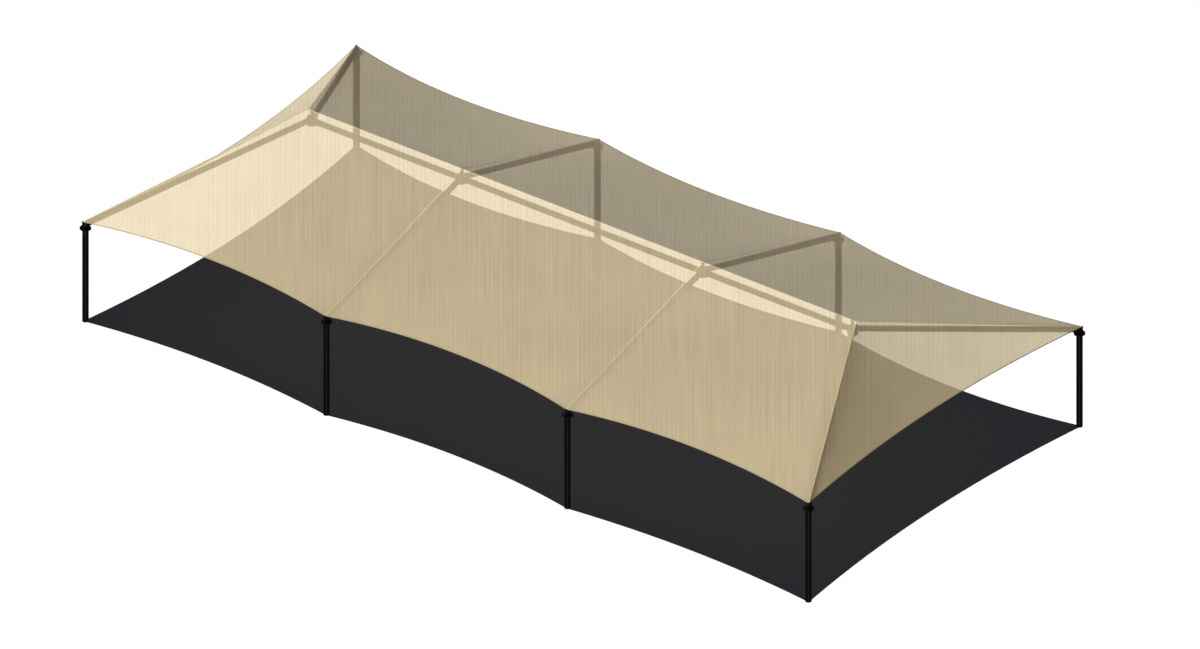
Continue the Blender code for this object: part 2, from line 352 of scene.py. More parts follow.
class Graph:
    """Short-hand for laying out shader nodes."""

    def __init__(self, name: str) -> None:
        """Starts an empty material.

        Args:
            name: Name of the material.
        """
        self.material = bpy.data.materials.new(name)
        self.material.use_nodes = True
        self.tree = self.material.node_tree
        self.tree.nodes.clear()
        self.output = self.tree.nodes.new("ShaderNodeOutputMaterial")

    def node(self, kind: str, settings: dict | None = None, **sockets: object) -> bpy.types.Node:
        """Adds a node.

        Args:
            kind: Its Blender type, without ShaderNode in front.
            settings: Attributes to set on the node.
            **sockets: Input values or output sockets to link, by input name with spaces as underscores, or i0, i1.

        Returns:
            The node.
        """
        made = self.tree.nodes.new("ShaderNode" + kind)
        for key, value in (settings or {}).items():
            setattr(made, key, value)
        for key, value in sockets.items():
            target = made.inputs[int(key[1:])] if key[0] == "i" and key[1:].isdigit() else made.inputs[key.replace("_", " ")]
            if isinstance(value, bpy.types.NodeSocket):
                self.tree.links.new(value, target)
            else:
                target.default_value = (*value, 1.0) if isinstance(value, tuple) and target.type == "RGBA" else value
        return made

    def place(self) -> bpy.types.NodeSocket:
        """Object coordinates, in metres."""
        return self.node("TexCoord").outputs["Object"]

    def math(self, operation: str, first: object, second: object = 0.0) -> bpy.types.NodeSocket:
        """Result of one Math node."""
        return self.node("Math", {"operation": operation}, i0=first, i1=second).outputs[0]

    def noise(self, scale: float, detail: float = 3.0, where: bpy.types.NodeSocket | None = None) -> bpy.types.NodeSocket:
        """Soft noise.

        Args:
            scale: Lumps per metre.
            detail: Octaves.
            where: Vector that it reads; Object coordinates if left out.

        Returns:
            Its factor, from about 0.3 to 0.7.
        """
        return self.node("TexNoise", Vector=where or self.place(), Scale=scale, Detail=detail).outputs["Fac"]

    def remap(self, value: bpy.types.NodeSocket, low: float, high: float, to_low: float, to_high: float) -> bpy.types.NodeSocket:
        """Straight-line map of one range to another, held at its ends."""
        return self.node("MapRange", i0=value, i1=low, i2=high, i3=to_low, i4=to_high).outputs[0]

    def blend(self, factor: object, first: object, second: object, mode: str = "MIX") -> bpy.types.NodeSocket:
        """Mixed colour.

        Args:
            factor: Share of the second colour.
            first: Colour or socket.
            second: Colour or socket.
            mode: Blender's blend type.

        Returns:
            The colour socket.
        """
        made = self.node("Mix", {"data_type": "RGBA", "blend_type": mode})
        for index, value in ((0, factor), (6, first), (7, second)):
            if isinstance(value, bpy.types.NodeSocket):
                self.tree.links.new(value, made.inputs[index])
            else:
                made.inputs[index].default_value = (*value, 1.0) if isinstance(value, tuple) else value
        return made.outputs[2]

    def bump(self, height: bpy.types.NodeSocket, depth: float, strength: float = 1.0, under: object = None) -> bpy.types.NodeSocket:
        """Bumped normal.

        Args:
            height: Height from 0 to 1.
            depth: Metres that a height of 1 stands up.
            strength: How much of it is used.
            under: Normal that it is added to.

        Returns:
            The normal socket.
        """
        made = self.node("Bump", Height=height, Distance=depth, Strength=strength)
        if under is not None:
            self.tree.links.new(under, made.inputs["Normal"])
        return made.outputs["Normal"]

    def finish(self, shader: bpy.types.Node) -> bpy.types.Material:
        """Links the last shader to the output."""
        self.tree.links.new(shader.outputs[0], self.output.inputs["Surface"])
        return self.material


class Finish:
    """Base of all finishes: each makes its material once."""

    name: str

    def material(self) -> bpy.types.Material:
        """The finish's material, made at its first use."""
        return bpy.data.materials.get(self.name) or self.make()

    def make(self) -> bpy.types.Material:
        """Builds the material's nodes."""
        raise NotImplementedError


@dataclass(frozen=True)
class PowderCoat(Finish):
    """Satin black powder coat on steel: fine orange peel, a little dust, paler where it has rubbed."""

    name: str = "satin_black_powder_coat"
    colour: Colour = (0.0030, 0.0030, 0.0034)
    dust: Colour = (0.0075, 0.0073, 0.0070)
    roughness: tuple[float, float] = (0.30, 0.42)

    def make(self) -> bpy.types.Material:
        """Peel at 2 mm as bump, broad dust in the colour, and the same broad lumps in the roughness."""
        g = Graph(self.name)
        broad = g.noise(2.6, 4.0)
        peel = g.noise(420.0, 2.0)
        colour = g.blend(g.remap(broad, 0.42, 0.70, 0.0, 0.55), self.colour, self.dust)
        gloss = g.remap(broad, 0.35, 0.65, *self.roughness)
        shader = g.node(
            "BsdfPrincipled",
            Base_Color=colour,
            Roughness=gloss,
            Specular_IOR_Level=0.35,
            Normal=g.bump(peel, 0.00025, 0.5),
        )
        return g.finish(shader)


@dataclass(frozen=True)
class Galvanised(Finish):
    """Zinc-coated steel: grey spangle with duller patches."""

    name: str = "galvanised_steel_spangle"
    bright: Colour = (0.52, 0.53, 0.55)
    dull: Colour = (0.36, 0.37, 0.385)

    def make(self) -> bpy.types.Material:
        """Crystals from a cell pattern of a few millimetres under broad dull clouds."""
        g = Graph(self.name)
        crystal = g.node("TexVoronoi", Vector=g.place(), Scale=160.0).outputs["Distance"]
        cloud = g.noise(14.0, 4.0)
        colour = g.blend(g.remap(cloud, 0.35, 0.65, 0.0, 1.0), self.dull, self.bright)
        colour = g.blend(g.remap(crystal, 0.0, 0.9, 0.0, 0.35), colour, (0.26, 0.27, 0.28))
        shader = g.node(
            "BsdfPrincipled",
            Base_Color=colour,
            Metallic=0.85,
            Roughness=g.remap(cloud, 0.3, 0.7, 0.34, 0.52),
            Normal=g.bump(crystal, 0.0002, 0.4),
        )
        return g.finish(shader)


@dataclass(frozen=True)
class ShadeCloth(Finish):
    """Sand-coloured knitted mesh that part of the light passes: ribs of two yarns, and holes too small to show."""

    name: str = "sand_knitted_shade_cloth"
    light_yarn: Colour = (0.83, 0.71, 0.475)
    dark_yarn: Colour = (0.62, 0.525, 0.345)
    rib_heading: float = 37.77
    # Open area and translucent share are set by panel kind, though the real cloth is the same all over. The far slope
    # and the ends, which turn from the light, are made less open, so less of the bright ground shows through and they
    # read darker: this is painted shade. The ends are also made more translucent, which evens out the shading across
    # them.
    openness: tuple[float, float, float] = (0.57, 0.375, 0.475)
    glow: tuple[float, float, float] = (0.38, 0.38, 0.46)

    def make(self) -> bpy.types.Material:
        """Ribs across the heading in three widths, colour clouds, a knitted bump, and open area by panel kind, lower on
        the far slope and the ends as painted shade.
        """
        g = Graph(self.name)
        turned = g.node("Mapping", Vector=g.place(), Rotation=Vector((0.0, 0.0, -math.radians(self.rib_heading))))
        across = turned.outputs[0]
        broad_rib = g.node("TexWave", {"bands_direction": "X"}, Vector=across, Scale=2.6, Distortion=0.5, Detail=1.0)
        fine_rib = g.node("TexWave", {"bands_direction": "X"}, Vector=across, Scale=9.0, Distortion=0.25, Detail=1.0)
        long_streak = g.node("Mapping", Vector=across, Scale=Vector((24.0, 0.30, 0.30)))
        streak = g.noise(1.0, 4.0, long_streak.outputs[0])
        cloud = g.noise(0.55, 3.0)
        mix = g.math("ADD", g.math("MULTIPLY", broad_rib.outputs["Fac"], 0.20), g.math("MULTIPLY", fine_rib.outputs["Fac"], 0.16))
        mix = g.math("ADD", mix, g.remap(streak, 0.34, 0.66, 0.0, 0.42))
        mix = g.math("ADD", mix, g.remap(cloud, 0.35, 0.65, 0.0, 0.16))
        colour = g.blend(mix, self.light_yarn, self.dark_yarn)
        knit = g.node("TexWave", {"bands_direction": "X"}, Vector=across, Scale=52.0, Distortion=1.2, Detail=1.0)
        course = g.node("TexWave", {"bands_direction": "Y"}, Vector=across, Scale=70.0, Distortion=2.0, Detail=1.0)
        height = g.math("ADD", g.math("MULTIPLY", knit.outputs["Fac"], 0.6), g.math("MULTIPLY", course.outputs["Fac"], 0.4))
        normal = g.bump(height, 0.0006, 0.35)
        cloth = g.node("BsdfPrincipled", Base_Color=colour, Roughness=0.82, Sheen_Weight=0.12, Sheen_Roughness=0.5, Normal=normal)
        lit_through = g.node("BsdfTranslucent", Color=colour, Normal=normal)
        solid = g.node("MixShader", i0=self.by_kind(g, self.glow), i1=cloth.outputs[0], i2=lit_through.outputs[0])
        # Open area by panel kind: less on the far slope and the ends, as painted shade.
        share = self.by_kind(g, self.openness)
        seen = g.math("SUBTRACT", 1.0, g.node("LightPath").outputs["Is Shadow Ray"])
        hole = g.node("BsdfTransparent", Color=(1.0, 0.975, 0.88))
        shader = g.node("MixShader", i0=g.math("MULTIPLY", share, seen), i1=solid.outputs[0], i2=hole.outputs[0])
        return g.finish(shader)

    @staticmethod
    def by_kind(g: Graph, values: tuple[float, float, float]) -> bpy.types.NodeSocket:
        """Picks a number by the faces' kind: 0 for the near slope, 1 for the far one, 2 for the ends."""
        kind = g.node("Attribute", {"attribute_name": "kind"}).outputs["Fac"]
        near, far, ends = values
        return g.math("ADD", g.remap(kind, 0.0, 1.0, near, far), g.remap(kind, 1.0, 2.0, 0.0, ends - far))


@dataclass(frozen=True)
class HemCloth(Finish):
    """The same cloth rolled and folded over itself, so it is closed and a little deeper in colour."""

    name: str = "sand_hem_cloth"
    light_yarn: Colour = (0.80, 0.67, 0.42)
    dark_yarn: Colour = (0.62, 0.51, 0.32)
    rib_length: float = 0.0045

    def make(self) -> bpy.types.Material:
        """Fine ribs across the piece's own length, from its UV map, with soft clouds."""
        g = Graph(self.name)
        uv = g.node("UVMap", {"uv_map": "metres"}).outputs[0]
        rib = g.node("TexWave", {"bands_direction": "X"}, Vector=uv, Scale=1.0 / (self.rib_length * 2.0 * math.pi), Distortion=0.6)
        cloud = g.noise(3.0, 4.0)
        mix = g.math("ADD", g.math("MULTIPLY", rib.outputs["Fac"], 0.35), g.remap(cloud, 0.3, 0.7, 0.0, 0.6))
        colour = g.blend(mix, self.light_yarn, self.dark_yarn)
        shader = g.node(
            "BsdfPrincipled", Base_Color=colour, Roughness=0.85, Sheen_Weight=0.1, Normal=g.bump(rib.outputs["Fac"], 0.0006, 0.5)
        )
        return g.finish(shader)


@dataclass(frozen=True)
class SewingThread(Finish):
    """Twisted sewing thread, a shade paler than the cloth."""

    name: str = "pale_sewing_thread"
    colour: Colour = (0.62, 0.54, 0.375)

    def make(self) -> bpy.types.Material:
        """Fine noise in colour and bump stands for the twist."""
        g = Graph(self.name)
        twist = g.noise(900.0, 1.0)
        colour = g.blend(g.remap(twist, 0.35, 0.65, 0.0, 0.35), self.colour, (0.48, 0.41, 0.28))
        shader = g.node("BsdfPrincipled", Base_Color=colour, Roughness=0.7, Normal=g.bump(twist, 0.0003, 0.4))
        return g.finish(shader)


@dataclass(frozen=True)
class StudioFloor(Finish):
    """Plain white floor that throws no light back."""

    name: str = "plain_white_floor"
    colour: Colour = (0.06, 0.06, 0.06)
    glow: Colour = (0.014, 0.016, 0.020)

    def make(self) -> bpy.types.Material:
        """A matt surface with an even glow, so that its own sun makes it white and its shadow stays an even grey."""
        g = Graph(self.name)
        matt = g.node("BsdfDiffuse", Color=self.colour)
        even = g.node("Emission", Color=self.glow, Strength=1.0)
        return g.finish(g.node("AddShader", i0=matt.outputs[0], i1=even.outputs[0]))


# The structure's own sizes


@dataclass(frozen=True)
class Plan:
    """Sizes that the pieces share, as the CAD has them."""

    bay: float = 8.13
    width: float = 11.8
    bays: int = 3
    post_radius: float = 0.0889
    post_wall: float = 0.008
    flange_radius: float = 0.1575
    flange_thickness: float = 0.018
    post_top: float = 2.860
    gap: float = 0.0003
    tube_radius: float = 0.0795
    rafter_foot_z: float = 2.976
    rafter_top_z: float = 4.615
    ridge_beam_z: float = 4.570
    elbow_radius: float = 0.115
    elbow_leg: float = 0.150
    hub_x: tuple[float, ...] = (-9.12, -4.065, 4.065, 9.12)
    hub_radius: float = 0.145
    hub_bottom: float = 4.460
    hub_top: float = 4.680
    hub_wall: float = 0.008
    crown_stem_radius: float = 0.038
    crown_dome_radius: float = 0.081
    crown_cap_radius: float = 0.062
    crown_cap_lip: float = 0.008
    corner_reach: float = 0.050
    corner_z: float = 3.064
    ridge_z: float = 4.870
    peak_x: float = 9.24
    cloth: float = 0.003
    pin_radius: float = 0.022
    cable_radius: float = 0.007
    near_bow: tuple[float, ...] = (0.34, 0.41, 0.26)
    far_bow: tuple[float, ...] = (0.56, 0.45, 0.47)
    near_rise: tuple[float, ...] = (0.120, 0.100, 0.165)
    far_rise: tuple[float, ...] = (0.0, 0.015, 0.0)
    end_bow: tuple[float, float] = (0.48, 0.40)
    end_rise: tuple[float, float] = (-0.17, 0.045)

    def post(self, side: Side, index: int) -> Array:
        """Ground point of a post's axis."""
        return np.array([self.bay * (index - self.bays / 2), side.value * self.width / 2, 0.0])

    def corner(self, side: Side, index: int) -> Array:
        """Middle of the cloth's thickness at an eave corner."""
        outer = {0: -1.0, self.bays: 1.0}.get(index, 0.0)
        shift = np.array([outer * self.corner_reach, side.value * self.corner_reach, self.corner_z])
        return self.post(side, index) + shift

    def eave(self, side: Side, bay: int, u: Array) -> Array:
        """A long side's eave over one bay: straight between its corners, plus the arch times the bow and the rise."""
        bow = (self.near_bow if side is Side.NEAR else self.far_bow)[bay]
        rise = (self.near_rise if side is Side.NEAR else self.far_rise)[bay]
        start, end = self.corner(side, bay), self.corner(side, bay + 1)
        t = u[:, None]
        return start * (1.0 - t) + end * t + arch(t) * np.array([0.0, -side.value * bow, rise])

    def end_eave(self, end: End, u: Array) -> Array:
        """An end's eave, from the near side to the far one, made as a long side's is."""
        number, index = (0, 0) if end is End.LEFT else (1, self.bays)
        start, stop = self.corner(Side.NEAR, index), self.corner(Side.FAR, index)
        pull = np.array([-end.value * self.end_bow[number], 0.0, self.end_rise[number]])
        t = u[:, None]
        return start * (1.0 - t) + stop * t + arch(t) * pull

    def ridge(self, bay: int, u: Array) -> Array:
        """The cloth's ridge above one bay, a straight level line."""
        tops = [-self.peak_x, self.hub_x[1], self.hub_x[2], self.peak_x]
        x = tops[bay] + (tops[bay + 1] - tops[bay]) * u
        return np.stack([x, np.zeros_like(x), np.full_like(x, self.ridge_z)], axis=1)

    def peak(self, end: End) -> Array:
        """Point where the ridge meets an end."""
        return np.array([end.value * self.peak_x, 0.0, self.ridge_z])

    def rafter(self, side: Side, index: int) -> tuple[Array, Array]:
        """Ends of a rafter's axis, above its post and on its hub's axis."""
        foot = self.post(side, index)
        foot[2] = self.rafter_foot_z
        return foot, np.array([self.hub_x[index], 0.0, self.rafter_top_z])


# Canopy


@dataclass
class Canopy:
    """One continuous knitted sheet over ridge, hips and rafters, with its seams and hems."""

    plan: Plan
    columns: int = 48
    rows: int = 56
    end_columns: int = 56
    thickness: float = 0.002
    valley_depth: float = 0.048
    valley_width: float = 0.55
    seam_width: float = 0.028
    seam_height: float = 0.0012
    hem_radius: float = 0.0110
    hem_sides: int = 10
    hem_clear: float = 0.020
    stitch_length: float = 0.009
    cloth: ShadeCloth = field(default_factory=ShadeCloth)
    seam: ShadeCloth = ShadeCloth("sand_seam_cloth", (0.72, 0.615, 0.41), (0.54, 0.455, 0.30))
    hem: HemCloth = field(default_factory=HemCloth)
    thread: SewingThread = field(default_factory=SewingThread)

    def relief(self, side: Side, bay: int, u: Array, v: Array) -> Array:
        """How far the sheet lies below the straight lines from eave to ridge.

        The cloth is drawn down beside the inner rafters: a hollow that is deepest at the rafter, fades with the
        distance from it, and closes towards the eave corner and the ridge as the sine of the way up.

        Args:
            side: Long side of the panel; not used.
            bay: Bay of the panel.
            u: Places along the bay, (columns,).
            v: Places up the slope, (rows,).

        Returns:
            Depths in metres, (rows, columns).
        """
        depth = np.zeros((len(v), len(u)))
        for index, distance in ((bay, u), (bay + 1, 1.0 - u)):
            if 0 < index < self.plan.bays:
                metres = distance * self.plan.bay
                depth += np.sin(math.pi * v)[:, None] ** 0.8 * np.exp(-metres / self.valley_width)[None, :]
        return depth * self.valley_depth

    def slope_places(self) -> Array:
        """Even places up a slope, with one more just above the eave so that the cloth's edge bends no shading."""
        return np.insert(np.linspace(0.0, 1.0, self.rows + 1), 1, 0.0012)

    def long_panel(self, side: Side, bay: int) -> Array:
        """Grid of one bay of a long side: straight lines from eave to ridge, less the relief.

        Args:
            side: Long side.
            bay: Bay, from 0 on the left.

        Returns:
            Points, (rows, columns, 3), from the eave up.
        """
        u, v = np.linspace(0.0, 1.0, self.columns + 1), self.slope_places()
        low, high = self.plan.eave(side, bay, u), self.plan.ridge(bay, u)
        grid = low[None] * (1.0 - v)[:, None, None] + high[None] * v[:, None, None]
        grid[:, :, 2] -= self.relief(side, bay, u, v)
        return grid

    def end_panel(self, end: End) -> Array:
        """Grid of an end: straight lines from its eave to the peak.

        Args:
            end: Which end.

        Returns:
            Points, (rows, columns, 3), from the eave up.
        """
        u = np.linspace(0.0, 1.0, self.end_columns + 1)
        v = self.slope_places()[:, None, None]
        return self.plan.end_eave(end, u)[None] * (1.0 - v) + self.plan.peak(end)[None, None] * v

    def build_sheet(self) -> bpy.types.Object:
        """The sheet: its eight panels as grids that are welded along hips, ridge and rafter lines."""
        shell = Shell()
        for side in Side:
            for bay in range(self.plan.bays):
                grid = self.long_panel(side, bay)
                shell.patch(grid if side is Side.NEAR else grid[:, ::-1], kind=0.0 if side is Side.NEAR else 1.0)
        for end in End:
            grid = self.end_panel(end)
            shell.patch(grid[:, ::-1] if end is End.LEFT else grid, kind=2.0)
        mesh = shell.mesh("canopy_sheet", recalculate=False, smooth_angle=22.0)
        panels = [f"canopy_{side.label}_{bay}" for side in Side for bay in ("left", "middle", "right")]
        ends = [f"canopy_end_{end.label}" for end in End]
        piece = add_piece("canopy_sheet", mesh, self.cloth, panels + ends)
        solidify = piece.modifiers.new("cloth_thickness", "SOLIDIFY")
        solidify.thickness = self.thickness
        solidify.offset = 0.0
        return piece

    def seam_lines(self) -> dict[str, Array]:
        """Lines of the seams, from the ground up or from left to right, along the sheet's own shape."""
        lines = {}
        for side in Side:
            for bay in range(self.plan.bays):
                grid = self.long_panel(side, bay)
                if bay == 0:
                    lines[f"hip_{side.label}_left"] = grid[:, 0]
                else:
                    lines[f"rafter_{side.label}_{bay}"] = grid[:, 0]
                if bay == self.plan.bays - 1:
                    lines[f"hip_{side.label}_right"] = grid[:, -1]
        u = np.linspace(0.0, 1.0, self.columns + 1)
        ridge = [self.plan.ridge(bay, u)[:-1] for bay in range(self.plan.bays)]
        lines["ridge"] = np.vstack([*ridge, self.plan.peak(End.RIGHT)[None]])
        return lines

    def seam_band(self, line: Array, left: Array, right: Array) -> tuple[Array, Array]:
        """Grid of a seam's flat band, folded over the crease where two panels meet.

        The section runs out half the width to either side along the panels, a thickness above them.

        Args:
            line: Points of the crease, (n, 3).
            left: Unit vectors down the panel on one side, (n, 3).
            right: The same on the other side.

        Returns:
            The grid, (n, 7, 3), with its first column repeated at its end, and its UV places in metres.
        """
        up = np.array([0.0, 0.0, 1.0])
        half, rise = self.seam_width / 2, self.seam_height
        base = self.thickness / 2
        ring = [
            line + left * half + up * (base - 0.0006),
            line + left * half * 0.94 + up * (base + rise),
            line + up * (base + rise),
            line + right * half * 0.94 + up * (base + rise),
            line + right * half + up * (base - 0.0006),
            line + up * (base - 0.0006),
        ]
        ring.append(ring[0])
        grid = np.stack(ring, axis=1)
        length = np.concatenate([[0.0], np.cumsum(np.linalg.norm(np.diff(line, axis=0), axis=1))])
        across = np.array([0.0, 0.002, half, self.seam_width, self.seam_width + 0.002, self.seam_width + half, 2 * self.seam_width])
        uv = np.stack(np.broadcast_arrays(length[:, None], across[None]), axis=-1)
        return grid, uv

    def seam_sides(self, name: str, line: Array) -> tuple[Array, Array]:
        """Unit vectors down the two panels beside a seam.

        Each is the level direction away from the crease, dropped by the fall of that panel's plane.

        Args:
            name: Name of the seam.
            line: Points of the crease.

        Returns:
            One set of vectors for each side.
        """
        tangent = unit(np.gradient(line, axis=0))
        first, second = (unit(np.cross(tangent, normal)) for normal in self.panel_normals(name))
        return first, -second

    def panel_normals(self, name: str) -> tuple[Array, Array]:
        """Upward normals of the planes on the two sides of a seam, first the one to the right of its run."""
        plan = self.plan
        fall = (plan.ridge_z - plan.corner_z) / (plan.width / 2 + plan.corner_reach)
        end_run = plan.bay * plan.bays / 2 + plan.corner_reach - plan.peak_x
        end_fall = (plan.ridge_z - plan.corner_z) / end_run
        normals = {
            "near": unit(np.array([0.0, -fall, 1.0])),
            "far": unit(np.array([0.0, fall, 1.0])),
            "left": unit(np.array([-end_fall, 0.0, 1.0])),
            "right": unit(np.array([end_fall, 0.0, 1.0])),
        }
        if name == "ridge":
            return normals["near"], normals["far"]
        kind, side, place = name.split("_")
        if kind == "rafter":
            return normals[side], normals[side]
        pair = (normals[side], normals[place])
        right_is_side = (side == "near") == (place == "left")
        return pair if right_is_side else pair[::-1]

    def build_seams(self) -> list[bpy.types.Object]:
        """Seam bands with two rows of lockstitch on each, one mesh of bands and one of stitches."""
        bands, stitches = Shell(), Shell()
        for name, line in self.seam_lines().items():
            fine = self.resample(line, 0.12)
            first, second = self.seam_sides(name, fine)
            grid, uv = self.seam_band(fine, first, second)
            bands.patch(capped(grid), pad_rows(uv))
            top = self.thickness / 2 + self.seam_height
            for direction in (first, second):
                row = fine + direction * self.seam_width * 0.36 + np.array([0.0, 0.0, top])
                self.add_stitches(stitches, row)
        band = add_piece("canopy_seams", bands.mesh("canopy_seams"), self.seam)
        sewn = add_piece("canopy_stitches", stitches.mesh("canopy_stitches"), self.thread)
        return [band, sewn]

    @staticmethod
    def resample(line: Array, step: float) -> Array:
        """Points at an even step along a line, by its own length.

        Args:
            line: Points of the line.
            step: Wanted distance between points in metres.

        Returns:
            The new points, with the same ends.
        """
        length = np.concatenate([[0.0], np.cumsum(np.linalg.norm(np.diff(line, axis=0), axis=1))])
        count = max(int(round(length[-1] / step)), 2) + 1
        want = np.linspace(0.0, length[-1], count)
        return np.stack([np.interp(want, length, line[:, axis]) for axis in range(3)], axis=1)

    def add_stitches(self, shell: Shell, row: Array, radius: float = 0.0011, every: float = 0.036) -> None:
        """Lays long stitches along a row, each a lens of four sides that dips into the cloth at its ends.

        Args:
            shell: Shell that takes them.
            row: Line of the row.
            radius: Half the thickness of the thread.
            every: Distance from one stitch to the next.
        """
        ends = self.resample(row, every)
        start, stop = ends[:-1], ends[:-1] + (ends[1:] - ends[:-1]) * 0.72
        t = np.array([0.0, 0.25, 0.75, 1.0])
        size = np.array([0.15, 1.0, 1.0, 0.15])
        run = unit(stop - start)
        side = unit(np.cross(run, np.array([0.0, 0.0, 1.0])))
        up = np.cross(side, run)
        angle = np.array([0.0, 0.5, 1.0, 1.5, 2.0]) * math.pi
        middle = start[:, None] * (1.0 - t)[None, :, None] + stop[:, None] * t[None, :, None]
        spoke = np.cos(angle)[:, None, None] * side[None] + np.sin(angle)[:, None, None] * up[None]
        grid = middle[:, :, None] + radius * size[None, :, None, None] * np.moveaxis(spoke, 0, 1)[:, None]
        for body in grid:
            shell.patch(capped(body))

    def eaves(self) -> dict[str, Curve]:
        """The eight eaves by the name of the cable in them."""
        plan = self.plan
        found: dict[str, Curve] = {}
        for side in Side:
            for bay in range(plan.bays):
                found[f"{side.label}_{bay + 1}"] = lambda u, s=side, b=bay: plan.eave(s, b, u)
        for end in End:
            found[f"end_{end.label}"] = lambda u, e=end: plan.end_eave(e, u)
        return found

    def build_hems(self) -> list[bpy.types.Object]:
        """Rolled hems round the cables: an egg-shaped roll along each eave, flattened where it joins the sheet."""
        made = []
        angle = np.linspace(0.0, 2.0 * math.pi, self.hem_sides, endpoint=False)
        section = np.stack([self.hem_radius * 0.95 * np.cos(angle), self.hem_radius * 1.05 * np.sin(angle)], axis=1)
        for name, eave in self.eaves().items():
            span = float(np.linalg.norm(eave(np.array([1.0])) - eave(np.array([0.0]))))
            clear = self.hem_clear / span
            u = np.linspace(clear, 1.0 - clear, 84)
            path = eave(u) - np.array([0.0, 0.0, self.hem_radius * 0.78])
            mouth = 1.0 + 0.12 * (1.0 - smooth_step(np.minimum(u - clear, 1.0 - clear - u), 0.0, 0.10 / span))
            grid = capped(swept(path, section, scale=mouth))
            length = np.linspace(0.0, span, grid.shape[0])
            around = np.linspace(0.0, 2.0 * math.pi * self.hem_radius, grid.shape[1])
            uv = np.stack(np.broadcast_arrays(length[:, None], around[None]), axis=-1)
            shell = Shell()
            shell.patch(grid, uv)
            made.append(add_piece(f"hem_{name}", shell.mesh(f"hem_{name}"), self.hem))
        return made

    def declare(self, sheet: bpy.types.Object) -> None:
        """Logs the sheet's area in square metres."""
        area = sheet_area(sheet.data)
        log.info("canopy_sheet: %.1f square metres", area)

    def build(self) -> None:
        """Makes the sheet and all that is sewn to it."""
        sheet = self.build_sheet()
        extras = self.build_seams() + self.build_hems()
        self.declare(sheet)


def pad_rows(values: Array) -> Array:
    """Repeats the first and last rows, to match a grid with a pole at each end."""
    return np.concatenate([values[:1], values, values[-1:]], axis=0)


def sheet_area(mesh: bpy.types.Mesh) -> float:
    """Sum of a mesh's face areas in square metres."""
    area = np.empty(len(mesh.polygons))
    mesh.polygons.foreach_get("area", area)
    return float(area.sum())


# Cable


@dataclass
class PerimeterCable:
    """Galvanised wire rope in the hems, stranded where it shows by the corners."""

    plan: Plan
    strands: int = 6
    lay: float = 0.085
    bare_length: float = 0.030
    ring_step: float = 0.0045
    core_step: float = 0.10
    wire: Galvanised = field(default_factory=Galvanised)

    def path(self, eave: Curve, u: Array) -> Array:
        """Middle line of a cable, its radius and a hair below the eave's cloth."""
        plan = self.plan
        drop = plan.cloth / 2 + 2 * plan.gap + plan.cable_radius
        return eave(u) - np.array([0.0, 0.0, drop])

    def section(self, twist: Array) -> Array:
        """Radii of a stranded rope round its middle line.

        The outline is a ring of lobes: the radius is its mean plus a share times the absolute cosine of half the
        lobes' angle, turned by the twist at each ring.

        Args:
            twist: Turn of each ring in radians, (n,).

        Returns:
            Points (n, m, 2), each ring's first point repeated at its end.
        """
        angle = np.linspace(0.0, 2.0 * math.pi, self.strands * 4 + 1)
        lobe = np.abs(np.cos(self.strands * (angle[None] + twist[:, None]) / 2.0))
        radius = self.plan.cable_radius * (0.80 + 0.20 * lobe)
        return np.stack([radius * np.cos(angle), radius * np.sin(angle)], axis=-1)

    def rope(self, path: Array) -> Array:
        """Twisted rope along a path, as a capped grid.

        Args:
            path: Points of the middle line.

        Returns:
            Points, (n + 2, m, 3).
        """
        length = np.concatenate([[0.0], np.cumsum(np.linalg.norm(np.diff(path, axis=0), axis=1))])
        ring = self.section(2.0 * math.pi * length / self.lay)
        side, top = path_frames(path)
        grid = path[:, None] + ring[..., :1] * side[:, None] + ring[..., 1:] * top[:, None]
        return capped(grid)

    def build(self, eaves: dict[str, Curve]) -> None:
        """Makes one rope a bay, stranded at both ends and plain inside its hem."""
        plan = self.plan
        for name, eave in eaves.items():
            span = float(np.linalg.norm(eave(np.array([1.0])) - eave(np.array([0.0]))))
            clear = (plan.pin_radius + plan.gap) / span
            bare = (self.bare_length + plan.pin_radius) / span
            shell = Shell()
            for low, high in ((clear, bare), (1.0 - bare, 1.0 - clear)):
                count = int((high - low) * span / self.ring_step) + 1
                shell.patch(self.rope(self.path(eave, np.linspace(low, high, count))))
            count = int((1.0 - 2 * bare) * span / self.core_step) + 1
            core = self.path(eave, np.linspace(bare, 1.0 - bare, count))
            shell.patch(capped(swept(core, circle_section(plan.cable_radius * 0.93, 10))))
            add_piece(f"rope_{name}", shell.mesh(f"rope_{name}"), self.wire, [f"cable_{name}"])


# Steel


